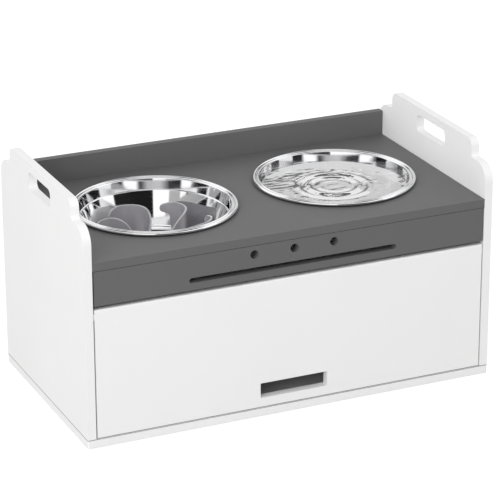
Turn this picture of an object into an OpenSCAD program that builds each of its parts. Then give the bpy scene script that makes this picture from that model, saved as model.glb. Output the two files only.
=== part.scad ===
// Raised feeding station for dogs: a painted fibreboard cabinet with a flap door in front,
// two lift-out steel bowls set into its top and a raised hand slot in each side panel.
// Millimetres, +Z up. The front faces -Y and the origin is the centre of the underside.

/* [Cabinet] */
// Overall width, across the side panels
cabinet_w = 600; // [590:10:700]
// Overall depth, from the front edge to the back edge
cabinet_d = 320; // [310:10:380]
// Overall height, to the top of the raised handles
cabinet_h = 336; // [332:2:380]
// Thickness of every board
board_t = 12; // [12:1:14]
// Height of the feeding surface above the floor
deck_h = 262; // [256:2:280]
// How far the rear upstand rises above the feeding surface
upstand_rise = 36; // [24:2:44]
// Gap at each end of the door and of the apron
side_gap = 2; // [1.5:0.5:3]

/* [Side panels] */
// Height of the low shoulders in front of and behind the raised handle
shoulder_h = 310; // [300:2:320]
// Corner radius of the shoulders
shoulder_r = 25; // [10:1:30]
// Length of the raised handle along the side
handle_l = 238; // [180:2:260]
// Radius of the handle's upper corners
handle_r = 12; // [4:1:16]
// Radius of the hollow corner where the handle meets the shoulder
handle_foot_r = 6; // [2:1:8]
// Length of the hand slot
hand_slot_l = 84; // [80:2:120]
// Height of the hand slot
hand_slot_h = 25; // [20:1:28]
// Corner radius of the hand slot
hand_slot_r = 8; // [3:1:10]
// Board left above the hand slot
hand_slot_cover = 11.5; // [10:0.5:16]

/* [Apron] */
// Height of the apron under the front of the top board
apron_h = 49; // [46:1:60]
// Length of the long slot in the apron
apron_slot_l = 305; // [150:5:400]
// Height of that slot
apron_slot_h = 7; // [5:0.5:8]
// Height of the slot's middle above the apron's lower edge
apron_slot_rise = 14; // [10:1:16]
// Diameter of the three round holes
apron_hole_d = 12; // [8:1:14]
// Distance between neighbouring round holes
apron_hole_pitch = 58.5; // [40:0.5:70]
// Height of the round holes above the apron's lower edge
apron_hole_rise = 36; // [32:1:38]

/* [Flap door] */
// Gap under the door
door_gap = 2; // [1.5:0.5:4]
// Gap over the door, which its rounded upper edge turns in
door_top_gap = 5; // [4:0.5:6]
// Distance of the pivots below the door's upper edge
pivot_drop = 11; // [9:1:14]
// Width of the finger cut-out
cutout_w = 100; // [80:2:140]
// Height of the finger cut-out
cutout_h = 21.5; // [18:0.5:30]
// Height of the cut-out above the door's lower edge
cutout_rise = 13; // [10:1:30]
// Diameter of the pivot pins
pin_d = 5; // [4:0.5:5]

/* [Bowls] */
// Diameter over the rolled rim
bowl_d = 230; // [220:2:236]
// Distance of each bowl's centre from the middle of the cabinet
bowl_x = 136; // [126:1:138]
// Depth of a bowl's floor below the feeding surface
bowl_depth = 62; // [56:1:63]
// Thickness of the steel
steel_t = 1; // [0.8:0.1:1.2]
// Diameter of the rolled bead round the rim
bead_d = 6; // [5:0.5:7]

/* [Slow feeder] */
// Number of hooked blades
blade_count = 6; // [5:1:6]
// Radius of the curl of a blade
blade_r = 29; // [27:0.5:30]
// Turn of a blade's curl, in degrees
blade_sweep = 205; // [190:5:210]
// Thickness of a blade
blade_t = 2.6; // [2:0.2:3.2]
// Depth of the blades' upper edges below the feeding surface
blade_top_drop = 20; // [18:1:28]

/* [Hidden] */
$fn = 64;

paint_white = "white";
paint_grey = [0.42, 0.42, 0.43];
steel_grey = [0.76, 0.77, 0.79];
insert_grey = [0.55, 0.54, 0.57];
plastic_white = [0.9, 0.9, 0.88];
beech = [0.82, 0.66, 0.44];
eps = 0.01;

// Faces of the boards
inner_x = cabinet_w / 2 - board_t;
front_y = -cabinet_d / 2;
rear_y = cabinet_d / 2;
back_face_y = rear_y - board_t;
front_mid_y = front_y + board_t / 2;
rear_mid_y = rear_y - board_t / 2;
deck_under = deck_h - board_t;
deck_mid = deck_h - board_t / 2;
apron_z = deck_under - apron_h;
apron_back_y = front_y + board_t;
panel_w = 2 * inner_x;
slim_w = panel_w - 2 * side_gap;
board_edge_r = 2;
apron_seam = 0.6;

// Door and its pivots
door_z = board_t + door_gap;
door_top = apron_z - door_top_gap;
door_h = door_top - door_z;
door_top_r = 2.5;
pivot_z = door_top - pivot_drop;
pin_seat = 9;
pin_reach = 16;
pin_clearance = 0.05;
bush_r = 4;
bush_l = 17;
bush_flange_r = 5.5;
bush_flange_t = 1.2;

// Catches behind the door
catch_z = 80;
catch_w = 13;
catch_deep = 14;
catch_body_h = 22;
catch_base_h = 46;
catch_base_t = 3;
catch_base_deep = 10;
catch_play = 0.4;
catch_screw_pitch = 34;
strike_t = 1.2;
strike_l = 26;
strike_h = 16;
strike_screw_in = 6;
strike_end = 1;
pole_t = 1.5;
pole_groove = 1;

// Small screws that hold the fittings
small_head_r = 3;
small_head_h = 2;
small_shank_r = 1.5;
small_screw_l = 11;
drive_r = 1.5;
drive_deep = 1;

// Blocks that tie the apron to the top board
block_l = 30;
block_leg = 20;
block_t = 4;
block_x = 250;
middle_block_x = apron_hole_pitch / 2;
block_screw_x = 8;
block_screw_in = 12;

// Cam fittings: a bolt in the side panel, and a cam in the board that it holds
cam_r = 6;
cam_deep = 9.5;
cam_inset = 24;
cam_bolt_r = 2.5;
cam_bore_r = 3;
cam_bolt_seat = 9;
cam_head_r = 2.9;
cam_head_l = 3;
cam_neck_l = 4;
cam_neck_r = 1.6;
deck_cam_y = [front_y + 40, rear_y - 50];
back_cam_z = [60, deck_under - 50];

// Wooden dowels
dowel_r = 3;
dowel_l = 30;
dowel_seat = 9;
deck_dowel_y = [front_y + 80, rear_y - 90];
back_dowel_z = [deck_under / 2];
upstand_dowel_z = deck_h + upstand_rise / 2;
apron_dowel_x = [-110, 110];
back_dowel_x = [-130, 130];

// Countersunk screws
screw_r = 2.5;
screw_l = 38;
screw_head_r = 5;
screw_head_h = 3;
screw_sink = 0.4;
base_screw_y = [front_y + 30, 0, rear_y - 30];
base_screw_x = [-200, 0, 200];
upstand_screw_x = [-200, -67, 67, 200];

// Bowl section, from the rim inwards, measured from the feeding surface
bowl_r = bowl_d / 2;
bead_r = bead_d / 2;
bead_lift = 0.3;
bead_z = bead_lift + bead_r;
groove_r = bowl_r - 6.3;
groove_z = bead_z + 0.9;
shoulder_top_r = bowl_r - 7.5;
shoulder_z = bead_z + 1.8;
collar_top_r = bowl_r - 9.6;
collar_foot_r = collar_top_r - 2.85;
ledge_r = collar_foot_r - 1.75;
collar_foot_z = -10.9;
ledge_z = -11.1;
floor_corner_r = ledge_r - 16.3;
floor_round = 6.4;
bowl_hole_r = collar_top_r + steel_t / 2 + 1.1;

// Slow feeder, measured from the feeding surface
feeder_foot = -bowl_depth + steel_t / 2 + 0.3;
feeder_wall_gap = 1.2;
bowl_lean = (ledge_r - floor_corner_r) / (ledge_z + bowl_depth);
hub_r = 26;
hub_top = feeder_foot + 8;
hub_round = 3;
blade_top = -blade_top_drop;
blade_centre = 50.4;
blade_phase = 51;
blade_start = 14.5;
blade_dip_r = 42;
nose_back = 18.5;

// Points along a round corner of radius r at p, between the lines to a and to b
function unit(v) = v / norm(v);
function corner_arc(a, p, b, r, steps) =
    let (u = unit(a - p), w = unit(b - p), half = acos(u * w) / 2)
    let (centre = p + unit(u + w) * r / sin(half))
    let (from = p + u * r / tan(half) - centre, to = p + w * r / tan(half) - centre)
    let (start = atan2(from.y, from.x), end = atan2(to.y, to.x))
    let (turn = (end - start + 540) % 360 - 180)
    [for (i = [0 : steps]) centre + r * [cos(start + turn * i / steps), sin(start + turn * i / steps)]];

// A line through corners, each rounded by its own radius; a radius of 0 keeps the corner
function rounded_line(corners, radii, steps) = [
    for (i = [0 : len(corners) - 1])
        each radii[i] == 0
            ? [corners[i]]
            : corner_arc(corners[i - 1], corners[i], corners[i + 1], radii[i], steps)
];

// The line moved sideways by d
function side_line(line, d) = [
    for (i = [0 : len(line) - 1])
        let (along = unit(line[min(i + 1, len(line) - 1)] - line[max(i - 1, 0)]))
        line[i] + d * [-along.y, along.x]
];

function backwards(line) = [for (i = [len(line) - 1 : -1 : 0]) line[i]];

// A rectangle centred on the origin with true round corners
module soft_rect(size, r) {
    square([size.x - 2 * r, size.y], center = true);
    square([size.x, size.y - 2 * r], center = true);
    for (sx = [-1, 1], sy = [-1, 1])
        translate([sx * (size.x / 2 - r), sy * (size.y / 2 - r)])
            circle(r);
}

// A Y-Z outline pushed along +X from x
module along_x(x, length) {
    translate([x, 0, 0])
        rotate([90, 0, 90])
            linear_extrude(length)
                children();
}

// An X-Z outline pushed along +Y from y
module along_y(y, length) {
    translate([0, y + length, 0])
        rotate([90, 0, 0])
            linear_extrude(length)
                children();
}

// A round bar or bore along +X, +Y or +Z from a point
module bar_x(at, length, r) {
    translate(at)
        rotate([0, 90, 0])
            cylinder(h = length, r = r);
}

module bar_y(at, length, r) {
    translate(at)
        rotate([-90, 0, 0])
            cylinder(h = length, r = r);
}

module bar_z(at, length, r) {
    translate(at)
        cylinder(h = length, r = r);
}

// What is fitted on the right, and its mirror image on the left
module both_sides() {
    children();
    mirror([1, 0, 0])
        children();
}

// Bores for the fittings between the right side panel and the boards that it holds
module cam_bolt_holes(r, seat, reach) {
    for (y = deck_cam_y)
        bar_x([inner_x - reach, y, deck_mid], reach + seat, r);
    for (z = back_cam_z)
        bar_x([inner_x - reach, rear_mid_y, z], reach + seat, r);
}

module end_dowels(r, seat, reach) {
    for (y = deck_dowel_y)
        bar_x([inner_x - reach, y, deck_mid], reach + seat, r);
    for (z = back_dowel_z)
        bar_x([inner_x - reach, rear_mid_y, z], reach + seat, r);
    bar_x([inner_x - reach, rear_mid_y, upstand_dowel_z], reach + seat, r);
}

// Upright dowels, in the apron and the top board, and in the back panel and the upstand
module upright_dowels(r) {
    for (x = apron_dowel_x)
        bar_z([x, front_mid_y, deck_under + dowel_seat - dowel_l], dowel_l, r);
    for (x = back_dowel_x)
        bar_z([x, rear_mid_y, deck_under - dowel_l / 2], dowel_l, r);
}

// A countersunk screw along +Z with its head at the origin's face
module countersunk_screw() {
    difference() {
        union() {
            translate([0, 0, screw_sink])
                cylinder(h = screw_head_h, r1 = screw_head_r, r2 = screw_r);
            cylinder(h = screw_l, r = screw_r);
        }
        translate([0, 0, -eps])
            cylinder(h = screw_sink + eps, r = screw_head_r);
        cylinder(h = screw_head_h, r = drive_r * 1.3, $fn = 6);
    }
}

// The hole that the screw fills
module countersunk_hole() {
    translate([0, 0, -1])
        cylinder(h = screw_sink + 1, r = screw_head_r);
    translate([0, 0, screw_sink])
        cylinder(h = screw_head_h, r1 = screw_head_r, r2 = screw_r);
    cylinder(h = screw_l, r = screw_r);
}

module base_screw_places() {
    for (y = base_screw_y, side = [-1, 1])
        translate([side * (inner_x + board_t / 2), y, 0])
            children();
    for (x = base_screw_x)
        translate([x, rear_mid_y, 0])
            children();
}

module upstand_screw_places() {
    for (x = upstand_screw_x)
        translate([x, rear_y, deck_mid])
            rotate([90, 0, 0])
                children();
}

// A round-headed screw along +Z, its head's underside at the origin
module small_screw() {
    difference() {
        union() {
            translate([0, 0, -small_head_h])
                cylinder(h = small_head_h, r1 = small_head_r * 0.7, r2 = small_head_r);
            cylinder(h = small_screw_l, r = small_shank_r);
        }
        translate([0, 0, -small_head_h - eps])
            cylinder(h = drive_deep, r = drive_r, $fn = 6);
    }
}

module small_hole() {
    cylinder(h = small_screw_l, r = small_shank_r);
}

// The catch's screws go outwards into the right side panel
module catch_screw_places() {
    for (s = [-1, 1])
        translate([
            inner_x - catch_base_t,
            apron_back_y + strike_t + catch_play + catch_deep / 2,
            catch_z + s * catch_screw_pitch / 2
        ])
            rotate([0, 90, 0])
                children();
}

// The strike plate's screw goes forwards into the door's back
module strike_screw_place() {
    translate([
        slim_w / 2 - strike_end - strike_l + strike_screw_in,
        apron_back_y + strike_t,
        catch_z
    ])
        rotate([90, 0, 0])
            children();
}

// A corner block has one screw up into the top board and one forwards into the apron
module block_screw_places() {
    translate([-block_screw_x, apron_back_y + block_screw_in, deck_under - block_t])
        children();
    translate([block_screw_x, apron_back_y + block_t, deck_under - block_screw_in])
        rotate([90, 0, 0])
            children();
}

module block_places() {
    for (x = [-block_x, middle_block_x, block_x])
        translate([x, 0, 0])
            children();
}

// Full-size floor board that everything stands on
module base_board() {
    color(paint_white)
        difference() {
            linear_extrude(board_t)
                soft_rect([cabinet_w, cabinet_d], board_edge_r);
            base_screw_places()
                countersunk_hole();
        }
}

// Side outline: a low shoulder at each end and a raised, slotted handle between them
module side_outline() {
    tall = shoulder_h - board_t;
    handle_rise = cabinet_h - shoulder_h;
    slot_z = cabinet_h - hand_slot_cover - hand_slot_h / 2;
    difference() {
        union() {
            translate([front_y, board_t])
                square([cabinet_d, tall - shoulder_r]);
            translate([front_y + shoulder_r, board_t])
                square([cabinet_d - 2 * shoulder_r, tall]);
            for (s = [-1, 1])
                translate([s * (cabinet_d / 2 - shoulder_r), shoulder_h - shoulder_r])
                    circle(shoulder_r);
            translate([-handle_l / 2 + handle_r, shoulder_h - 1])
                square([handle_l - 2 * handle_r, handle_rise + 1]);
            translate([-handle_l / 2, shoulder_h - 1])
                square([handle_l, handle_rise - handle_r + 1]);
            for (s = [-1, 1])
                translate([s * (handle_l / 2 - handle_r), cabinet_h - handle_r])
                    circle(handle_r);
            for (s = [-1, 1])
                translate([s * (handle_l / 2 + handle_foot_r / 2), shoulder_h + handle_foot_r / 2])
                    square(handle_foot_r, center = true);
        }
        for (s = [-1, 1])
            translate([s * (handle_l / 2 + handle_foot_r), shoulder_h + handle_foot_r])
                circle(handle_foot_r);
        translate([0, slot_z])
            soft_rect([hand_slot_l, hand_slot_h], hand_slot_r);
    }
}

module side_panel() {
    color(paint_white)
        difference() {
            along_x(inner_x, board_t)
                side_outline();
            cam_bolt_holes(cam_bolt_r, cam_bolt_seat, eps);
            end_dowels(dowel_r, dowel_seat, eps);
            base_screw_places()
                countersunk_hole();
            bar_x([inner_x - eps, front_mid_y, pivot_z], pin_seat + eps, pin_d / 2);
            catch_screw_places()
                small_hole();
        }
}

module right_side_panel() {
    side_panel();
}

module left_side_panel() {
    mirror([1, 0, 0])
        side_panel();
}

// Cam pockets open towards dir, at the board's inner face
module back_cam_places() {
    for (z = back_cam_z)
        translate([inner_x - cam_inset, back_face_y, z])
            rotate([-90, 0, 0])
                children();
}

module deck_cam_places() {
    for (y = deck_cam_y)
        translate([inner_x - cam_inset, y, deck_under])
            children();
}

module back_panel() {
    color(paint_white)
        difference() {
            along_y(back_face_y, board_t)
                translate([0, (board_t + deck_under) / 2])
                    square([panel_w, deck_under - board_t], center = true);
            both_sides() {
                cam_bolt_holes(cam_bore_r, 0, cam_inset);
                end_dowels(dowel_r, 0, dowel_l - dowel_seat);
                back_cam_places()
                    cylinder(h = cam_deep, r = cam_r);
            }
            upright_dowels(dowel_r);
            base_screw_places()
                countersunk_hole();
        }
}

// Feeding surface with the two round bowl openings
module top_board() {
    color(paint_grey)
        difference() {
            translate([-inner_x, front_y, deck_under])
                cube([panel_w, cabinet_d - board_t, board_t]);
            both_sides() {
                bar_z([bowl_x, 0, deck_under - 1], board_t + 2, bowl_hole_r);
                cam_bolt_holes(cam_bore_r, 0, cam_inset);
                end_dowels(dowel_r, 0, dowel_l - dowel_seat);
                deck_cam_places()
                    cylinder(h = cam_deep, r = cam_r);
            }
            upright_dowels(dowel_r);
            upstand_screw_places()
                countersunk_hole();
            block_places()
                block_screw_places()
                    small_hole();
        }
}

module rear_upstand() {
    color(paint_grey)
        difference() {
            along_y(back_face_y, board_t)
                translate([0, (deck_under + deck_h + upstand_rise) / 2])
                    square([panel_w, board_t + upstand_rise], center = true);
            both_sides()
                end_dowels(dowel_r, 0, dowel_l - dowel_seat);
            upright_dowels(dowel_r);
            upstand_screw_places()
                countersunk_hole();
        }
}

// Apron with its long slot and three round holes
module front_apron() {
    color(paint_grey)
        difference() {
            along_y(front_y, board_t)
                difference() {
                    translate([-slim_w / 2, apron_z])
                        square([slim_w, apron_h - apron_seam]);
                    translate([0, apron_z + apron_slot_rise])
                        soft_rect([apron_slot_l, apron_slot_h], apron_slot_h / 2 - eps);
                    for (i = [-1 : 1])
                        translate([i * apron_hole_pitch, apron_z + apron_hole_rise])
                            circle(d = apron_hole_d);
                }
            upright_dowels(dowel_r);
            block_places()
                block_screw_places()
                    small_hole();
        }
}

// Flap door: its upper edge is rounded so that it can turn under the apron
module door_section() {
    union() {
        translate([front_y, door_z])
            square([board_t, door_h - door_top_r]);
        translate([front_y + door_top_r, door_z])
            square([board_t - 2 * door_top_r, door_h]);
        for (y = [front_y + door_top_r, apron_back_y - door_top_r])
            translate([y, door_top - door_top_r])
                circle(door_top_r);
    }
}

module door_panel() {
    color(paint_white)
        difference() {
            along_x(-slim_w / 2, slim_w)
                door_section();
            translate([-cutout_w / 2, front_y - 1, door_z + cutout_rise])
                cube([cutout_w, board_t + 2, cutout_h]);
            both_sides() {
                bar_x([slim_w / 2 - bush_l, front_mid_y, pivot_z], bush_l + 1, bush_r);
                strike_screw_place()
                    small_hole();
            }
        }
}

// Steel pin, fast in the side panel, that the door's bush turns on
module pivot_pin() {
    color(steel_grey)
        bar_x([inner_x - side_gap - pin_reach, front_mid_y, pivot_z],
            side_gap + pin_reach + pin_seat, pin_d / 2);
}

module right_pivot_pin() {
    pivot_pin();
}

module left_pivot_pin() {
    mirror([1, 0, 0])
        pivot_pin();
}

// Flanged nylon bush, pressed into the end of the door
module pivot_bush() {
    color(plastic_white)
        difference() {
            union() {
                bar_x([slim_w / 2 - bush_l, front_mid_y, pivot_z], bush_l, bush_r);
                bar_x([slim_w / 2, front_mid_y, pivot_z], bush_flange_t, bush_flange_r);
            }
            bar_x([slim_w / 2 - bush_l - 1, front_mid_y, pivot_z], bush_l + bush_flange_t + 2,
                pin_d / 2 + pin_clearance);
        }
}

module right_pivot_bush() {
    pivot_bush();
}

module left_pivot_bush() {
    mirror([1, 0, 0])
        pivot_bush();
}

// Magnetic catch: a flanged housing with two steel pole edges facing the door
module magnetic_catch() {
    front = apron_back_y + strike_t + catch_play;
    body_w = catch_w - catch_base_t;
    color(plastic_white)
        difference() {
            union() {
                translate([inner_x - catch_w, front + pole_t, catch_z - catch_body_h / 2])
                    cube([catch_w, catch_deep - pole_t, catch_body_h]);
                for (x = [2, body_w - 1])
                    translate([inner_x - catch_w + x, front, catch_z - catch_body_h / 2 + 2])
                        cube([pole_t, pole_t + eps, catch_body_h - 4]);
                translate([inner_x - catch_base_t, front + catch_deep / 2, catch_z])
                    rotate([0, 90, 0])
                        linear_extrude(catch_base_t)
                            soft_rect([catch_base_h, catch_base_deep], 3);
            }
            catch_screw_places()
                small_hole();
            translate([inner_x - catch_w - 1, front + catch_deep / 2, catch_z - catch_body_h / 4])
                cube([pole_groove + 1, pole_groove, catch_body_h / 2]);
        }
}

module right_magnetic_catch() {
    magnetic_catch();
}

module left_magnetic_catch() {
    mirror([1, 0, 0])
        magnetic_catch();
}

module strike_plate() {
    color(steel_grey)
        difference() {
            along_y(apron_back_y, strike_t)
                translate([slim_w / 2 - strike_end - strike_l / 2, catch_z])
                    soft_rect([strike_l, strike_h], 3);
            strike_screw_place()
                small_hole();
        }
}

module right_strike_plate() {
    strike_plate();
}

module left_strike_plate() {
    mirror([1, 0, 0])
        strike_plate();
}

module catch_screws() {
    color(steel_grey)
        both_sides()
            catch_screw_places()
                small_screw();
}

module strike_screws() {
    color(steel_grey)
        both_sides()
            strike_screw_place()
                small_screw();
}

// Moulded angle block with two legs and end cheeks
module corner_block(x) {
    cheek_t = 2.5;
    color(plastic_white)
        translate([x, 0, 0])
            difference() {
                union() {
                    translate([-block_l / 2, apron_back_y, deck_under - block_t])
                        cube([block_l, block_leg, block_t]);
                    translate([-block_l / 2, apron_back_y, deck_under - block_leg])
                        cube([block_l, block_t, block_leg]);
                    for (start = [-block_l / 2, block_l / 2 - cheek_t])
                        along_x(start, cheek_t)
                            polygon([
                                [apron_back_y, deck_under],
                                [apron_back_y + block_leg, deck_under],
                                [apron_back_y, deck_under - block_leg]
                            ]);
                }
                block_screw_places()
                    small_hole();
            }
}

module left_corner_block() {
    corner_block(-block_x);
}

module middle_corner_block() {
    corner_block(middle_block_x);
}

module right_corner_block() {
    corner_block(block_x);
}

module corner_block_screws() {
    color(steel_grey)
        block_places()
            block_screw_places()
                small_screw();
}

// Section of a drawn bowl: rolled bead, groove, round shoulder, steep collar, narrow ledge,
// deeper wall and flat floor
module bowl_section() {
    line = rounded_line([
        [bowl_r - bead_r * 1.5, groove_z],
        [groove_r, groove_z],
        [shoulder_top_r, shoulder_z],
        [collar_top_r, shoulder_z],
        [collar_foot_r, collar_foot_z],
        [ledge_r, ledge_z],
        [floor_corner_r, -bowl_depth],
        [0, -bowl_depth]
    ], [0, 1, 1, 1.8, 1, 1, floor_round, 0], 5);
    inside = side_line(line, steel_t / 2);
    outside = side_line(line, -steel_t / 2);
    polygon(concat(
        [for (p = outside) [max(p.x, 0), p.y]],
        [for (p = backwards(inside)) [max(p.x, 0), p.y]]
    ));
    translate([bowl_r - bead_r, bead_z])
        circle(bead_r, $fn = 32);
}

module bowl(x) {
    color(steel_grey)
        translate([x, 0, deck_h])
            rotate_extrude($fn = 128)
                bowl_section();
}

module left_bowl() {
    bowl(-bowl_x);
}

module right_bowl() {
    bowl(bowl_x);
}

// The space round the bowl's axis that the blades are cut to: it stands off the bowl's
// wall and rounded floor corner, and its upper side dips towards the hub
module feeder_envelope() {
    rotate_extrude($fn = 128)
        polygon(rounded_line([
            [0, feeder_foot],
            [floor_corner_r - feeder_wall_gap, feeder_foot],
            [
                floor_corner_r - feeder_wall_gap + bowl_lean * (blade_top - feeder_foot),
                blade_top
            ],
            [hub_r + 17.5, blade_top],
            [hub_r - 2, hub_top - 1.5],
            [0, hub_top - 1.5]
        ], [0, floor_round - 1, 0, blade_dip_r, 0, 0], 8));
}

// Cuts a blade's free end to a round nose that hangs forward over a hollow
module blade_nose_cut() {
    nose = rounded_line([
        [-27, blade_top + 0.7],
        [-14, blade_top - 0.2],
        [5.5, blade_top - 4.8],
        [5.5, blade_top - 13.5],
        [-8, blade_top - 18.5],
        [-11, feeder_foot - 2]
    ], [0, 30, 6.3, 5.2, 4, 0], 6);
    rotate([0, 0, 180 + blade_start + blade_sweep - nose_back])
        along_x(blade_r - 2 * blade_t, 4 * blade_t)
            polygon(concat(nose, [
                [20, feeder_foot - 2],
                [20, blade_top + 5],
                [-27, blade_top + 5]
            ]));
}

module hooked_blade() {
    translate([blade_centre, 0, 0])
        difference() {
            rotate([0, 0, 180 + blade_start])
                rotate_extrude(angle = blade_sweep, $fn = 96)
                    translate([blade_r - blade_t / 2, feeder_foot - 1])
                        square([blade_t, blade_top - feeder_foot + 3]);
            blade_nose_cut();
        }
}

// Moulded insert: hooked blades round a low disc, shaped to stand on the bowl's floor
module slow_feeder_insert() {
    color(insert_grey)
        translate([-bowl_x, 0, deck_h]) {
            intersection() {
                for (i = [0 : blade_count - 1])
                    rotate([0, 0, blade_phase + i * 360 / blade_count])
                        hooked_blade();
                feeder_envelope();
            }
            rotate_extrude()
                polygon(rounded_line([
                    [0, feeder_foot],
                    [hub_r, feeder_foot],
                    [hub_r, hub_top],
                    [0, hub_top]
                ], [0, 0, hub_round, 0], 6));
        }
}

// Bolt of a cam fitting: threaded into the side panel, with a necked head in the cam
module cam_bolt(at) {
    shank = cam_inset - cam_head_l / 2 - cam_neck_l;
    bar_x([at.x - shank, at.y, at.z], shank + cam_bolt_seat, cam_bolt_r);
    bar_x([at.x - shank - cam_neck_l - eps, at.y, at.z], cam_neck_l + 2 * eps, cam_neck_r);
    bar_x([at.x - cam_inset - cam_head_l / 2, at.y, at.z], cam_head_l, cam_head_r);
}

module cam_bolts() {
    color(steel_grey)
        both_sides() {
            for (y = deck_cam_y)
                cam_bolt([inner_x, y, deck_mid]);
            for (z = back_cam_z)
                cam_bolt([inner_x, rear_mid_y, z]);
        }
}

// Cam: a drum with a side opening for the bolt's head and a cross slot in its face
module cam_lock() {
    slot_w = 1.4;
    slot_deep = 1.5;
    difference() {
        cylinder(h = cam_deep, r = cam_r - 0.1);
        bar_x([-cam_head_l / 2 - 0.5, 0, board_t / 2], cam_r + 4, cam_bore_r);
        for (turn = [0, 90])
            rotate([0, 0, turn])
                translate([-cam_r * 0.7, -slot_w / 2, -eps])
                    cube([cam_r * 1.4, slot_w, slot_deep]);
    }
}

module cam_locks() {
    color(steel_grey)
        both_sides() {
            deck_cam_places()
                cam_lock();
            back_cam_places()
                cam_lock();
        }
}

module wooden_dowels() {
    color(beech) {
        both_sides()
            end_dowels(dowel_r, dowel_seat, dowel_l - dowel_seat);
        upright_dowels(dowel_r);
    }
}

module base_screws() {
    color(steel_grey)
        base_screw_places()
            countersunk_screw();
}

module upstand_screws() {
    color(steel_grey)
        upstand_screw_places()
            countersunk_screw();
}

base_board();
left_side_panel();
right_side_panel();
back_panel();
top_board();
rear_upstand();
front_apron();
door_panel();
left_pivot_pin();
right_pivot_pin();
left_pivot_bush();
right_pivot_bush();
left_magnetic_catch();
right_magnetic_catch();
left_strike_plate();
right_strike_plate();
catch_screws();
strike_screws();
left_corner_block();
middle_corner_block();
right_corner_block();
corner_block_screws();
left_bowl();
right_bowl();
slow_feeder_insert();
cam_bolts();
cam_locks();
wooden_dowels();
base_screws();
upstand_screws();
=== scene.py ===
import bpy
import math
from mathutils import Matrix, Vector


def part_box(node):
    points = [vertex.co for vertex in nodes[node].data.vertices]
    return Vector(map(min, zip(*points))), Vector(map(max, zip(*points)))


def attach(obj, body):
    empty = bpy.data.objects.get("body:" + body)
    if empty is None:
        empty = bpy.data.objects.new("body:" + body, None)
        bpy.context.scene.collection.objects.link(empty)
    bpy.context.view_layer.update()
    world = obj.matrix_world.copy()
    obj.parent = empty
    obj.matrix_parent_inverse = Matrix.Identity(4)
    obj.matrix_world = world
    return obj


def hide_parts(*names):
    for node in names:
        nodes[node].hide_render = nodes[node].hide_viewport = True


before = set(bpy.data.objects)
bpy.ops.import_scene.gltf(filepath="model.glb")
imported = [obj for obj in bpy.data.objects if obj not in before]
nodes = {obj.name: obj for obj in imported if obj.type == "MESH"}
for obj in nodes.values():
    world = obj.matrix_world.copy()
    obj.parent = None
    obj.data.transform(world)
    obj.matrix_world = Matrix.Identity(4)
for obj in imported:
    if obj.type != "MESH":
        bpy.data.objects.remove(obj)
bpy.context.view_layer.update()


# Camera: a long lens a few metres away, above the front left corner, as the product
# photograph was taken.
camera_at = Vector((-1.3368, -2.9859, 1.4515))
camera_tilt = math.radians(68.721)
camera_roll = math.radians(0.142)
camera_turn = math.radians(-24.282)
lens_mm = 181.4
sensor_mm = 36
sight_limit = 50

bpy.ops.object.camera_add(
    location=camera_at, rotation=(camera_tilt, camera_roll, camera_turn))
camera = bpy.context.object
camera.data.lens = lens_mm
camera.data.sensor_width = sensor_mm
camera.data.clip_end = sight_limit
bpy.context.scene.camera = camera
bpy.context.scene.view_settings.view_transform = "Standard"


# Studio: a white sweep under a bright, even tent of cloth, with one large round lamp above
# the front left, behind the cloth. Dark cloths hung in the tent give polished metal
# something to mirror.
floor_size = 12
floor_drop = 0.0005
floor_colour = (0.53, 0.53, 0.53, 1)
floor_glow = 0.64
tent_light = 0.85
backdrop_white = 1.25
lamp_at = Vector((-3.8, -3.2, 1.9))
lamp_aim = Vector((0, 0, 0.2))
lamp_size = 3.6
lamp_watts = 124


def node_tree(owner):
    """Gives a material or world an empty node tree and returns its nodes and links."""
    owner.use_nodes = True
    owner.node_tree.nodes.clear()
    return owner.node_tree.nodes, owner.node_tree.links


def seen_directly(made, links):
    """1 where the camera, or a clear piece before it, looks at the backdrop, and else 0."""
    path = made.new("ShaderNodeLightPath")
    either = made.new("ShaderNodeMath")
    either.operation = "MAXIMUM"
    links.new(path.outputs["Is Camera Ray"], either.inputs[0])
    links.new(path.outputs["Is Transmission Ray"], either.inputs[1])
    return either.outputs[0]


def floor_material():
    """Matt and pale, with the rest of the way to white added where the camera looks."""
    material = bpy.data.materials.new("studio_floor_white")
    made, links = node_tree(material)
    matt = made.new("ShaderNodeBsdfDiffuse")
    matt.inputs["Color"].default_value = floor_colour
    glow = made.new("ShaderNodeEmission")
    strength = made.new("ShaderNodeMath")
    strength.operation = "MULTIPLY"
    strength.inputs[1].default_value = floor_glow
    links.new(seen_directly(made, links), strength.inputs[0])
    links.new(strength.outputs[0], glow.inputs["Strength"])
    both = made.new("ShaderNodeAddShader")
    links.new(matt.outputs[0], both.inputs[0])
    links.new(glow.outputs[0], both.inputs[1])
    output = made.new("ShaderNodeOutputMaterial")
    links.new(both.outputs[0], output.inputs["Surface"])
    return material


def tent_cloths(made, links, ramp_stops, source):
    """A ramp of light and dark cloths, one stop for each edge of a cloth."""
    cloths = made.new("ShaderNodeValToRGB")
    ramp = cloths.color_ramp.elements
    for place, level in ramp_stops[1:-1]:
        ramp.new(place)
    for stop, (place, level) in zip(ramp, ramp_stops):
        stop.position = place
        stop.color = (level, level, level, 1)
    links.new(source, cloths.inputs["Fac"])
    return cloths.outputs["Color"]


bpy.ops.object.select_all(action="DESELECT")
bpy.ops.mesh.primitive_plane_add(size=floor_size, location=(0, 0, -floor_drop))
floor = bpy.context.object
floor.name = "studio_floor"
floor.data.materials.append(floor_material())

bpy.ops.object.light_add(type="AREA", location=lamp_at)
lamp = bpy.context.object
lamp.name = "round_softbox"
lamp.data.shape = "DISK"
lamp.data.size = lamp_size
lamp.data.energy = lamp_watts
lamp.rotation_euler = (lamp_aim - lamp_at).to_track_quat("-Z", "Y").to_euler()
lamp.visible_camera = False
lamp.visible_glossy = False

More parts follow.
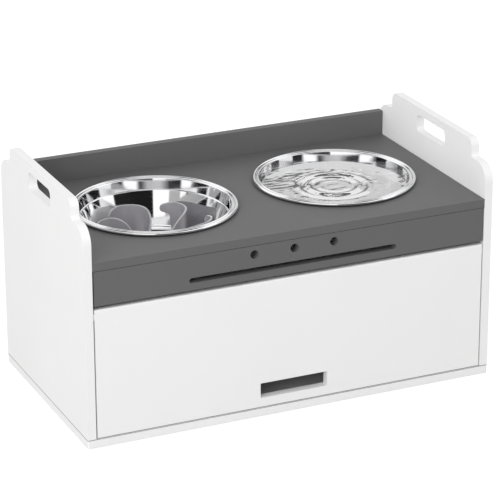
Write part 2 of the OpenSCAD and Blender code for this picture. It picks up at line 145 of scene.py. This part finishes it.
# The tent as polished metal sees it. Each row of cloths runs once round, from the front by
# the left, the back and the right. Everything else is lit by plain white cloth, which the
# camera sees as a white backdrop.
low_cloths = [
    (0.000, 0.015), (0.055, 0.015), (0.058, 1.5), (0.202, 1.5), (0.207, 0.03),
    (0.296, 0.03), (0.306, 1.4), (0.425, 1.4), (0.436, 0.1), (0.460, 0.1),
    (0.480, 1.0), (0.652, 1.0), (0.660, 0.1), (0.725, 0.1), (0.741, 1.5),
    (0.874, 1.5), (0.879, 0.02), (1.000, 0.015),
]
upper_cloths = [
    (0.000, 0.02), (0.050, 0.02), (0.060, 1.5), (0.120, 1.2), (0.205, 0.04),
    (0.290, 0.04), (0.318, 1.9), (0.410, 1.9), (0.442, 0.08), (0.460, 0.12),
    (0.510, 0.85), (0.610, 0.95), (0.690, 0.05), (0.780, 0.03), (0.798, 1.9),
    (0.940, 1.9), (0.955, 0.02), (1.000, 0.02),
]
low_top = [(0.0, 0.0), (0.640, 0.0), (0.648, 1.0), (1.0, 1.0)]
upper_top = [(0.0, 0.0), (0.71, 0.0), (0.74, 1.0), (1.0, 1.0)]
overhead = [(0.0, 1.4), (0.905, 1.4), (0.915, 0.04), (0.972, 0.04), (0.98, 1.4), (1.0, 1.4)]
world = bpy.data.worlds.new("studio_tent")
bpy.context.scene.world = world
made, links = node_tree(world)
direction = made.new("ShaderNodeTexCoord")
axes = made.new("ShaderNodeSeparateXYZ")
links.new(direction.outputs["Generated"], axes.inputs[0])
turn = made.new("ShaderNodeMath")
turn.operation = "ARCTAN2"
links.new(axes.outputs["X"], turn.inputs[0])
links.new(axes.outputs["Y"], turn.inputs[1])
around = made.new("ShaderNodeMapRange")
around.inputs["From Min"].default_value = -math.pi
around.inputs["From Max"].default_value = math.pi
links.new(turn.outputs[0], around.inputs["Value"])
height = made.new("ShaderNodeMapRange")
height.inputs["From Min"].default_value = -1
height.inputs["From Max"].default_value = 1
links.new(axes.outputs["Z"], height.inputs["Value"])
walls = made.new("ShaderNodeMix")
walls.data_type = "RGBA"
links.new(tent_cloths(made, links, low_top, height.outputs[0]), walls.inputs["Factor"])
links.new(tent_cloths(made, links, low_cloths, around.outputs[0]), walls.inputs["A"])
links.new(tent_cloths(made, links, upper_cloths, around.outputs[0]), walls.inputs["B"])
ceiling = made.new("ShaderNodeMix")
ceiling.data_type = "RGBA"
links.new(tent_cloths(made, links, overhead, height.outputs[0]), ceiling.inputs["B"])
links.new(tent_cloths(made, links, upper_top, height.outputs[0]), ceiling.inputs["Factor"])
links.new(walls.outputs["Result"], ceiling.inputs["A"])
mirrored = made.new("ShaderNodeLightPath")
shown = made.new("ShaderNodeMix")
shown.data_type = "RGBA"
plain = made.new("ShaderNodeMapRange")
plain.inputs["To Min"].default_value = 1
plain.inputs["To Max"].default_value = backdrop_white
links.new(seen_directly(made, links), plain.inputs["Value"])
links.new(plain.outputs["Result"], shown.inputs["A"])
links.new(mirrored.outputs["Is Glossy Ray"], shown.inputs["Factor"])
links.new(ceiling.outputs["Result"], shown.inputs["B"])
sky = made.new("ShaderNodeBackground")
sky.inputs["Strength"].default_value = tent_light
links.new(shown.outputs["Result"], sky.inputs["Color"])
output = made.new("ShaderNodeOutputWorld")
links.new(sky.outputs[0], output.inputs["Surface"])


# White painted boards: the floor board, both sides, the back and the flap door. They are
# medium-density fibreboard, sawn and routed, their edges eased and sprayed in satin white.
board_white = (0.9, 0.9, 0.898)
board_merge = 0.000002
board_edge = 0.0009
board_corner = math.radians(40)
shade_drift = 0.015
sheen_drift = 0.04
peel_depth = 0.00012
# The dark line along the floor board's joints is painted shade, for the shadow that falls in
# the seam.
joint_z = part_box("base_board")[1].z
joint_half = 0.0003
joint_fade = 0.0008
joint_shade_level = 0.25
facing_up = 0.97


def satin_paint(name, colour, roughness, gloss):
    """Sprayed satin paint: a fine orange-peel skin, faint drift in sheen and shade, and a
    line of painted shade where the boards meet the floor board, for the shadow in the seam."""
    material = bpy.data.materials.new(name)
    made, links = node_tree(material)
    place = made.new("ShaderNodeTexCoord")
    paint = made.new("ShaderNodeBsdfPrincipled")
    paint.inputs["Specular IOR Level"].default_value = gloss
    drift = made.new("ShaderNodeTexNoise")
    drift.inputs["Scale"].default_value = 9
    drift.inputs["Detail"].default_value = 3
    links.new(place.outputs["Object"], drift.inputs["Vector"])
    shade = made.new("ShaderNodeMapRange")
    shade.inputs["To Min"].default_value = 1 - shade_drift
    shade.inputs["To Max"].default_value = 1 + shade_drift
    links.new(drift.outputs["Fac"], shade.inputs["Value"])
    axes = made.new("ShaderNodeSeparateXYZ")
    links.new(place.outputs["Object"], axes.inputs[0])
    off_joint = made.new("ShaderNodeMath")
    off_joint.operation = "SUBTRACT"
    off_joint.inputs[1].default_value = joint_z
    links.new(axes.outputs["Z"], off_joint.inputs[0])
    distance = made.new("ShaderNodeMath")
    distance.operation = "ABSOLUTE"
    links.new(off_joint.outputs[0], distance.inputs[0])
    facing = made.new("ShaderNodeSeparateXYZ")
    links.new(place.outputs["Normal"], facing.inputs[0])
    upward = made.new("ShaderNodeMath")
    upward.operation = "GREATER_THAN"
    upward.inputs[1].default_value = facing_up
    links.new(facing.outputs["Z"], upward.inputs[0])
    # Painted shade along the joint with the floor board, kept off the floor board's upward
    # face.
    from_joint_shade = made.new("ShaderNodeMath")
    links.new(distance.outputs[0], from_joint_shade.inputs[0])
    links.new(upward.outputs[0], from_joint_shade.inputs[1])
    painted_joint_shade = made.new("ShaderNodeMapRange")
    painted_joint_shade.inputs["From Min"].default_value = joint_half
    painted_joint_shade.inputs["From Max"].default_value = joint_fade
    painted_joint_shade.inputs["To Min"].default_value = joint_shade_level
    links.new(from_joint_shade.outputs[0], painted_joint_shade.inputs["Value"])
    level = made.new("ShaderNodeMath")
    level.operation = "MULTIPLY"
    links.new(shade.outputs["Result"], level.inputs[0])
    links.new(painted_joint_shade.outputs["Result"], level.inputs[1])
    tint = made.new("ShaderNodeVectorMath")
    tint.operation = "SCALE"
    tint.inputs[0].default_value = colour
    links.new(level.outputs[0], tint.inputs["Scale"])
    links.new(tint.outputs[0], paint.inputs["Base Color"])
    sheen = made.new("ShaderNodeMapRange")
    sheen.inputs["To Min"].default_value = roughness - sheen_drift
    sheen.inputs["To Max"].default_value = roughness + sheen_drift
    links.new(drift.outputs["Fac"], sheen.inputs["Value"])
    links.new(sheen.outputs["Result"], paint.inputs["Roughness"])
    peel = made.new("ShaderNodeTexNoise")
    peel.inputs["Scale"].default_value = 650
    peel.inputs["Detail"].default_value = 2
    links.new(place.outputs["Object"], peel.inputs["Vector"])
    skin = made.new("ShaderNodeBump")
    skin.inputs["Strength"].default_value = 0.35
    skin.inputs["Distance"].default_value = peel_depth
    links.new(peel.outputs["Fac"], skin.inputs["Height"])
    links.new(skin.outputs["Normal"], paint.inputs["Normal"])
    output = made.new("ShaderNodeOutputMaterial")
    links.new(paint.outputs[0], output.inputs["Surface"])
    return material


def eased_copy(node, name, merge, edge, corner, smooth, miter):
    """The node's own shape under a new name, with its sharp edges eased."""
    bpy.ops.object.select_all(action="DESELECT")
    piece = bpy.data.objects.new(name, nodes[node].data.copy())
    bpy.context.collection.objects.link(piece)
    piece.select_set(True)
    bpy.context.view_layer.objects.active = piece
    bpy.ops.object.mode_set(mode="EDIT")
    bpy.ops.mesh.select_all(action="SELECT")
    bpy.ops.mesh.remove_doubles(threshold=merge)
    bpy.ops.mesh.dissolve_limited(angle_limit=math.radians(0.5))
    bpy.ops.object.mode_set(mode="OBJECT")
    ease = piece.modifiers.new("eased edges", "BEVEL")
    ease.width = edge
    ease.segments = 3
    ease.limit_method = "ANGLE"
    ease.angle_limit = corner
    ease.miter_outer = miter
    bpy.ops.object.modifier_apply(modifier=ease.name)
    bpy.ops.object.shade_smooth_by_angle(angle=smooth)
    even = piece.modifiers.new("even shading", "WEIGHTED_NORMAL")
    even.keep_sharp = True
    bpy.ops.object.modifier_apply(modifier=even.name)
    piece.data.materials.clear()
    return piece


def painted_board(node, body, paint):
    """The board cut to its node's shape, with every sharp edge eased before painting."""
    board = eased_copy(
        node, node + "_painted", board_merge, board_edge, board_corner, board_corner,
        "MITER_ARC")
    board.data.materials.append(paint)
    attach(board, body)
    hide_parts(node)


white_paint = satin_paint("satin_white_paint", board_white, roughness=0.42, gloss=0.5)
for node in ["base_board", "left_side_panel", "right_side_panel", "back_panel"]:
    painted_board(node, "cabinet", white_paint)
painted_board("door_panel", "door", white_paint)


# Grey painted boards: the feeding surface with its two round openings, the upstand behind
# it and the slotted apron in front, sprayed in a dark neutral grey.
board_grey = (0.138, 0.138, 0.139)

grey_paint = satin_paint("satin_grey_paint", board_grey, roughness=0.5, gloss=0.22)
for node in ["top_board", "rear_upstand", "front_apron"]:
    painted_board(node, "cabinet", grey_paint)


# Fittings: zinc-plated screws, cams, pins and plates, white moulded catches, bushes and
# corner blocks, and beech dowels. They are bought in and fitted as they come.
nylon_white = (0.78, 0.78, 0.75)
zinc_dark = (0.5, 0.52, 0.54, 1)
zinc_bright = (0.7, 0.71, 0.72, 1)
beech_fleck = (0.36, 0.19, 0.09, 1)
beech_pale = (0.62, 0.4, 0.22, 1)


def zinc_plate():
    """Bright zinc, slightly blue, with the fine grain of barrel plating."""
    material = bpy.data.materials.new("bright_zinc_plate")
    made, links = node_tree(material)
    place = made.new("ShaderNodeTexCoord")
    metal = made.new("ShaderNodeBsdfPrincipled")
    metal.inputs["Metallic"].default_value = 1
    grain = made.new("ShaderNodeTexNoise")
    grain.inputs["Scale"].default_value = 420
    grain.inputs["Detail"].default_value = 4
    links.new(place.outputs["Object"], grain.inputs["Vector"])
    shade = made.new("ShaderNodeValToRGB")
    shade.color_ramp.elements[0].position = 0.3
    shade.color_ramp.elements[0].color = zinc_dark
    shade.color_ramp.elements[1].position = 0.75
    shade.color_ramp.elements[1].color = zinc_bright
    links.new(grain.outputs["Fac"], shade.inputs["Fac"])
    links.new(shade.outputs["Color"], metal.inputs["Base Color"])
    dull = made.new("ShaderNodeMapRange")
    dull.inputs["To Min"].default_value = 0.25
    dull.inputs["To Max"].default_value = 0.5
    links.new(grain.outputs["Fac"], dull.inputs["Value"])
    links.new(dull.outputs["Result"], metal.inputs["Roughness"])
    output = made.new("ShaderNodeOutputMaterial")
    links.new(metal.outputs[0], output.inputs["Surface"])
    return material


def moulded_plastic(name, colour, roughness, grain_scale, polish=0):
    """Injection-moulded plastic: fine spark-eroded grain and a soft, uneven gloss, with a
    shiny skin over it where the mould was polished."""
    material = bpy.data.materials.new(name)
    made, links = node_tree(material)
    place = made.new("ShaderNodeTexCoord")
    plastic = made.new("ShaderNodeBsdfPrincipled")
    plastic.inputs["Coat Weight"].default_value = polish
    plastic.inputs["Coat Roughness"].default_value = 0.16
    cloud = made.new("ShaderNodeTexNoise")
    cloud.inputs["Scale"].default_value = 30
    links.new(place.outputs["Object"], cloud.inputs["Vector"])
    shade = made.new("ShaderNodeMapRange")
    shade.inputs["To Min"].default_value = 0.97
    shade.inputs["To Max"].default_value = 1.03
    links.new(cloud.outputs["Fac"], shade.inputs["Value"])
    tint = made.new("ShaderNodeVectorMath")
    tint.operation = "SCALE"
    tint.inputs[0].default_value = colour
    links.new(shade.outputs["Result"], tint.inputs["Scale"])
    links.new(tint.outputs[0], plastic.inputs["Base Color"])
    gloss = made.new("ShaderNodeMapRange")
    gloss.inputs["To Min"].default_value = roughness - 0.05
    gloss.inputs["To Max"].default_value = roughness + 0.05
    links.new(cloud.outputs["Fac"], gloss.inputs["Value"])
    links.new(gloss.outputs["Result"], plastic.inputs["Roughness"])
    grain = made.new("ShaderNodeTexNoise")
    grain.inputs["Scale"].default_value = grain_scale
    grain.inputs["Detail"].default_value = 2
    links.new(place.outputs["Object"], grain.inputs["Vector"])
    skin = made.new("ShaderNodeBump")
    skin.inputs["Strength"].default_value = 0.3
    skin.inputs["Distance"].default_value = 0.0001
    links.new(grain.outputs["Fac"], skin.inputs["Height"])
    links.new(skin.outputs["Normal"], plastic.inputs["Normal"])
    output = made.new("ShaderNodeOutputMaterial")
    links.new(plastic.outputs[0], output.inputs["Surface"])
    return material


def beech():
    """Pressed beech dowel: pale pink-brown with short dark flecks along the grain."""
    material = bpy.data.materials.new("beech")
    made, links = node_tree(material)
    place = made.new("ShaderNodeTexCoord")
    along = made.new("ShaderNodeMapping")
    along.inputs["Scale"].default_value = (0.15, 1, 0.15)
    links.new(place.outputs["Object"], along.inputs["Vector"])
    fleck = made.new("ShaderNodeTexNoise")
    fleck.inputs["Scale"].default_value = 1500
    fleck.inputs["Detail"].default_value = 5
    links.new(along.outputs["Vector"], fleck.inputs["Vector"])
    shade = made.new("ShaderNodeValToRGB")
    shade.color_ramp.elements[0].position = 0.35
    shade.color_ramp.elements[0].color = beech_fleck
    shade.color_ramp.elements[1].position = 0.6
    shade.color_ramp.elements[1].color = beech_pale
    links.new(fleck.outputs["Fac"], shade.inputs["Fac"])
    wood = made.new("ShaderNodeBsdfPrincipled")
    wood.inputs["Roughness"].default_value = 0.7
    links.new(shade.outputs["Color"], wood.inputs["Base Color"])
    output = made.new("ShaderNodeOutputMaterial")
    links.new(wood.outputs[0], output.inputs["Surface"])
    return material


def dress(names, material):
    """Gives CAD nodes their finish, without touching their shape."""
    for name in names:
        nodes[name].data.materials.clear()
        nodes[name].data.materials.append(material)


zinc = zinc_plate()
white_plastic = moulded_plastic(
    "white_nylon", nylon_white, roughness=0.4, grain_scale=900)
dress([
    "left_pivot_pin", "right_pivot_pin", "left_strike_plate", "right_strike_plate",
    "catch_screws", "strike_screws", "corner_block_screws", "cam_bolts", "cam_locks",
    "base_screws", "upstand_screws",
], zinc)
dress([
    "left_pivot_bush", "right_pivot_bush", "left_magnetic_catch", "right_magnetic_catch",
    "left_corner_block", "middle_corner_block", "right_corner_block",
], white_plastic)
dress(["wooden_dowels"], beech())


# Bowls: deep-drawn from one sheet of stainless steel, the rim rolled over into a bead, then
# polished on a lathe. Each hangs by its rim in the feeding surface and lifts out.
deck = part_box("top_board")[1].z
steel_grey = (0.8, 0.8, 0.81, 1)
sheet_t = 0.001
round_steps = 160
on_ring = 0.00001
bead_outer_r = 0.003
bead_start = math.radians(160)
bead_turn = math.radians(330)
bead_steps = 18
groove_inset = 0.0063
groove_rise = 0.0009
rim_inset = 0.0075
rim_rise = 0.0018
collar_inset = 0.0096
ledge_inset = 0.00285
ledge_drop = 0.0109
wall_top_inset = 0.0046
wall_top_drop = 0.0111
wall_foot_inset = 0.0209
floor_round = 0.0047
corner_steps = 5
floor_insets = (0.02, 0.025)
wall_polish = 0.06
rim_polish = 0.13
rim_polish_from = 0.004
rim_polish_to = 0.0045
turning_marks = 0.015
# The bead's underside is painted dark, for the shade under the rim against the feeding
# surface.
dull_shaded_reach = 0.002
polish_from = 0.0023


def polished_steel(centre):
    """Mirror-polished stainless steel with faint turning marks round the bowl's axis, and a
    slightly softer polish on the rim."""
    material = bpy.data.materials.new("polished_steel")
    made, links = node_tree(material)
    place = made.new("ShaderNodeTexCoord")
    middle = made.new("ShaderNodeMapping")
    middle.inputs["Location"].default_value = (-centre.x, -centre.y, 0)
    links.new(place.outputs["Object"], middle.inputs["Vector"])
    rings = made.new("ShaderNodeTexWave")
    rings.wave_type = "RINGS"
    rings.rings_direction = "Z"
    rings.inputs["Scale"].default_value = 160
    rings.inputs["Distortion"].default_value = 1.5
    rings.inputs["Detail"].default_value = 2
    links.new(middle.outputs["Vector"], rings.inputs["Vector"])
    steel = made.new("ShaderNodeBsdfPrincipled")
    steel.inputs["Base Color"].default_value = steel_grey
    steel.inputs["Metallic"].default_value = 1
    marks = made.new("ShaderNodeMapRange")
    marks.inputs["To Min"].default_value = -turning_marks
    marks.inputs["To Max"].default_value = turning_marks
    links.new(rings.outputs["Fac"], marks.inputs["Value"])
    axes = made.new("ShaderNodeSeparateXYZ")
    links.new(place.outputs["Object"], axes.inputs[0])
    polish = made.new("ShaderNodeMapRange")
    polish.inputs["From Min"].default_value = deck + rim_polish_from
    polish.inputs["From Max"].default_value = deck + rim_polish_to
    polish.inputs["To Min"].default_value = wall_polish
    polish.inputs["To Max"].default_value = rim_polish
    links.new(axes.outputs["Z"], polish.inputs["Value"])
    rough = made.new("ShaderNodeMath")
    links.new(polish.outputs["Result"], rough.inputs[0])
    links.new(marks.outputs["Result"], rough.inputs[1])
    links.new(rough.outputs[0], steel.inputs["Roughness"])
    output = made.new("ShaderNodeOutputMaterial")
    links.new(steel.outputs[0], output.inputs["Surface"])
    return material


def rolled_edge_painted_shade():
    """The underside of the bead, rough and unpolished from the rolling, its colour darkened to
    paint the shade that falls under the bead.
    """
    material = bpy.data.materials.new("unpolished_steel_painted_shade")
    made, links = node_tree(material)
    place = made.new("ShaderNodeTexCoord")
    scale = made.new("ShaderNodeTexNoise")
    scale.inputs["Scale"].default_value = 300
    links.new(place.outputs["Object"], scale.inputs["Vector"])
    shade = made.new("ShaderNodeMapRange")
    shade.inputs["To Min"].default_value = 0.03
    shade.inputs["To Max"].default_value = 0.06
    links.new(scale.outputs["Fac"], shade.inputs["Value"])
    steel = made.new("ShaderNodeBsdfPrincipled")
    steel.inputs["Metallic"].default_value = 1
    steel.inputs["Roughness"].default_value = 0.5
    links.new(shade.outputs["Result"], steel.inputs["Base Color"])
    output = made.new("ShaderNodeOutputMaterial")
    links.new(steel.outputs[0], output.inputs["Surface"])
    return material


def draw_rings(start, places):
    """Draws the selected ring on, from its own radius and height to each next one."""
    radius, height = start
    for next_r, next_z in places:
        scale = next_r / radius
        bpy.ops.mesh.extrude_region_move()
        bpy.ops.transform.resize(value=(scale, scale, 1))
        bpy.ops.transform.translate(value=(0, 0, next_z - height))
        radius, height = next_r, next_z


def select_ring(bowl, centre, radius, height):
    """Selects only the edges that run round the bowl at one radius and height."""
    bpy.ops.mesh.select_all(action="DESELECT")
    bpy.ops.mesh.select_mode(type="EDGE")
    bpy.ops.object.mode_set(mode="OBJECT")
    for edge in bowl.data.edges:
        ends = [bowl.data.vertices[i].co for i in edge.vertices]
        places = [(math.hypot(p.x - centre.x, p.y - centre.y), p.z) for p in ends]
        edge.select = all(
            abs(r - radius) < on_ring and abs(z - height) < on_ring for r, z in places)
    bpy.ops.object.mode_set(mode="EDIT")


def drawn_bowl(node, name, body):
    """Draws the bowl down ring by ring from the rim's groove, rounds its corners and rolls
    the bead outwards."""
    low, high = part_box(node)
    centre = Vector(((low.x + high.x) / 2, (low.y + high.y) / 2, 0))
    rim_r = (high.x - low.x) / 2
    bead_r = bead_outer_r - sheet_t / 2
    bead_middle_r = rim_r - bead_outer_r
    bead_middle_z = high.z - bead_outer_r
    floor_z = low.z + sheet_t / 2
    collar_r = rim_r - collar_inset
    bead_angles = [
        bead_start - step * bead_turn / bead_steps for step in range(bead_steps + 1)]
    bead = [
        (bead_middle_r + bead_r * math.cos(angle), bead_middle_z + bead_r * math.sin(angle))
        for angle in bead_angles]
    # Radius, height and rounding of each corner, from the groove inwards to the floor.
    corners = [
        (rim_r - groove_inset, bead_middle_z + groove_rise, 0.0003),
        (rim_r - rim_inset, bead_middle_z + rim_rise, 0.0005),
        (collar_r, bead_middle_z + rim_rise, 0.0014),
        (collar_r - ledge_inset, deck - ledge_drop, 0.0007),
        (collar_r - wall_top_inset, deck - wall_top_drop, 0.0006),
        (collar_r - wall_foot_inset, floor_z, floor_round),
    ]
    bpy.ops.object.select_all(action="DESELECT")
    bpy.ops.mesh.primitive_circle_add(
        vertices=round_steps, radius=bead[0][0], location=(centre.x, centre.y, bead[0][1]))
    bowl = bpy.context.object
    bowl.name = name
    bpy.ops.object.transform_apply()
    bpy.ops.object.mode_set(mode="EDIT")
    bpy.ops.mesh.select_all(action="SELECT")
    bpy.context.scene.tool_settings.transform_pivot_point = "MEDIAN_POINT"
    draw_rings(bead[0], [(corner_r, corner_z) for corner_r, corner_z, corner_round in corners])
    bpy.ops.mesh.edge_face_add()
    for floor_inset in floor_insets:
        bpy.ops.mesh.inset(thickness=floor_inset)
    bpy.ops.mesh.poke()
    for corner_r, corner_z, corner_round in corners:
        select_ring(bowl, centre, corner_r, corner_z)
        bpy.ops.mesh.bevel(offset=corner_round, segments=corner_steps, affect="EDGES")
    select_ring(bowl, centre, bead[0][0], bead[0][1])
    draw_rings(bead[0], bead[1:])
    bpy.ops.mesh.select_all(action="SELECT")
    bpy.ops.mesh.normals_make_consistent(inside=False)
    bpy.ops.object.mode_set(mode="OBJECT")
    wall = bowl.modifiers.new("sheet", "SOLIDIFY")
    wall.thickness = sheet_t
    wall.offset = 0
    bpy.ops.object.modifier_apply(modifier=wall.name)
    bpy.ops.object.shade_smooth_by_angle(angle=math.radians(50))
    even = bowl.modifiers.new("even shading", "WEIGHTED_NORMAL")
    even.weight = 80
    even.keep_sharp = True
    bpy.ops.object.modifier_apply(modifier=even.name)
    bowl.data.materials.append(polished_steel(centre))
    bowl.data.materials.append(rolled_edge_painted_shade())
    # Faces under the bead's outer half take the darkened steel: painted shade under the rim.
    for face in bowl.data.polygons:
        reach = math.hypot(face.center.x - centre.x, face.center.y - centre.y)
        if reach > bead_middle_r - dull_shaded_reach and face.center.z < deck + polish_from:
            face.material_index = 1
    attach(bowl, body)
    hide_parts(node)


drawn_bowl("left_bowl", "left_steel_bowl", "left_bowl")
drawn_bowl("right_bowl", "right_steel_bowl", "right_bowl")


# Water: the right bowl is filled to just above its ledge, and small rings run round the
# middle of the surface. The body of water reaches the steel all round.
water_top = deck - 0.0094
water_wet = 0.0002
ripple_rings = 44
ripple_steps = 128
ripple_height = 0.0018
ripple_middle = 0.041
ripple_width = 0.014
ripple_calm = 0.04
ripple_radians_per_metre = 400
water_clear = (1, 1, 1, 1)
glitter_white = (0.9, 0.9, 0.9, 1)
scatter_share = 0.12
skin_share = 0.75


def ripple(radius):
    """Height of the water over its still level, at a distance from the middle. The ripples
    are high in one band round the middle, and nearly calm elsewhere."""
    fade = math.exp(-((radius - ripple_middle) / ripple_width) ** 2)
    wave = math.sin(radius * ripple_radians_per_metre)
    return ripple_height * (ripple_calm + fade) * wave


def clear_water():
    """Water in restless light: no colour of its own, and an uneven, glittering skin that
    shows more of the tent than of the steel below it."""
    material = bpy.data.materials.new("clear_water")
    made, links = node_tree(material)
    place = made.new("ShaderNodeTexCoord")
    stretch = made.new("ShaderNodeMapping")
    stretch.inputs["Scale"].default_value = (0.8, 2.4, 0.3)
    links.new(place.outputs["Object"], stretch.inputs["Vector"])
    marks = made.new("ShaderNodeTexNoise")
    marks.inputs["Scale"].default_value = 26
    marks.inputs["Detail"].default_value = 2
    links.new(stretch.outputs["Vector"], marks.inputs["Vector"])
    skin = made.new("ShaderNodeBump")
    skin.inputs["Strength"].default_value = 0.5
    skin.inputs["Distance"].default_value = 0.003
    links.new(marks.outputs["Fac"], skin.inputs["Height"])
    water = made.new("ShaderNodeBsdfPrincipled")
    water.inputs["Base Color"].default_value = water_clear
    water.inputs["Roughness"].default_value = 0.22
    water.inputs["IOR"].default_value = 1.333
    water.inputs["Transmission Weight"].default_value = 1
    links.new(skin.outputs["Normal"], water.inputs["Normal"])
    sparkle = made.new("ShaderNodeBsdfGlossy")
    sparkle.inputs["Color"].default_value = glitter_white
    sparkle.inputs["Roughness"].default_value = 0.05
    links.new(skin.outputs["Normal"], sparkle.inputs["Normal"])
    scatter = made.new("ShaderNodeBsdfDiffuse")
    scatter.inputs["Color"].default_value = glitter_white
    links.new(skin.outputs["Normal"], scatter.inputs["Normal"])
    surface = made.new("ShaderNodeMixShader")
    surface.inputs[0].default_value = scatter_share
    links.new(sparkle.outputs[0], surface.inputs[1])
    links.new(scatter.outputs[0], surface.inputs[2])
    both = made.new("ShaderNodeMixShader")
    both.inputs[0].default_value = skin_share
    links.new(water.outputs[0], both.inputs[1])
    links.new(surface.outputs[0], both.inputs[2])
    output = made.new("ShaderNodeOutputMaterial")
    links.new(both.outputs[0], output.inputs["Surface"])
    return material


low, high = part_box("right_bowl")
pool_middle = Vector(((low.x + high.x) / 2, (low.y + high.y) / 2, 0))
pool_floor = low.z + sheet_t - water_wet
# Radius and height of the water's side against the steel, from its floor upwards.
pool_profile = [
    (0.0798, pool_floor),
    (0.0833, pool_floor + 0.0011),
    (0.0855, pool_floor + 0.0042),
    (0.1002, deck - 0.0118),
    (0.1010, deck - 0.0109),
    (0.1018, deck - 0.0107),
    (0.1023, deck - 0.0102),
    (0.10245, water_top),
]
pool_r = pool_profile[-1][0]
ripple_radii = [pool_r * (1 - (step + 1) / ripple_rings) for step in range(ripple_rings - 1)]
pool_surface = [(radius, water_top + ripple(radius)) for radius in ripple_radii]
bpy.ops.object.select_all(action="DESELECT")
bpy.ops.mesh.primitive_circle_add(
    vertices=ripple_steps, radius=pool_profile[0][0], fill_type="NGON",
    location=(pool_middle.x, pool_middle.y, pool_floor))
pool = bpy.context.object
pool.name = "drinking_water"
bpy.ops.object.transform_apply()
bpy.ops.object.mode_set(mode="EDIT")
bpy.ops.mesh.select_all(action="SELECT")
draw_rings(pool_profile[0], pool_profile[1:] + pool_surface)
bpy.ops.mesh.poke()
bpy.ops.mesh.select_all(action="SELECT")
bpy.ops.mesh.normals_make_consistent(inside=False)
bpy.ops.object.mode_set(mode="OBJECT")
bpy.ops.object.shade_smooth_by_angle(angle=math.radians(40))
pool.data.materials.append(clear_water())
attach(pool, "right_bowl")


# Slow feeder: one grey polypropylene moulding of six hooked blades round a low disc. It
# stands loose on the left bowl's floor, and the mould has eased every edge of its blades.
feeder_grey = (0.42, 0.41, 0.436)
feeder_merge = 0.000005
blade_edge = 0.0008
blade_corner = math.radians(50)
blade_smooth = math.radians(45)

feeder = eased_copy(
    "slow_feeder_insert", "hooked_feeder", feeder_merge, blade_edge, blade_corner,
    blade_smooth, "MITER_SHARP")
feeder.data.materials.append(moulded_plastic(
    "grey_polypropylene", feeder_grey, roughness=0.26, grain_scale=700, polish=1))
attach(feeder, "slow_feeder")
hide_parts("slow_feeder_insert")
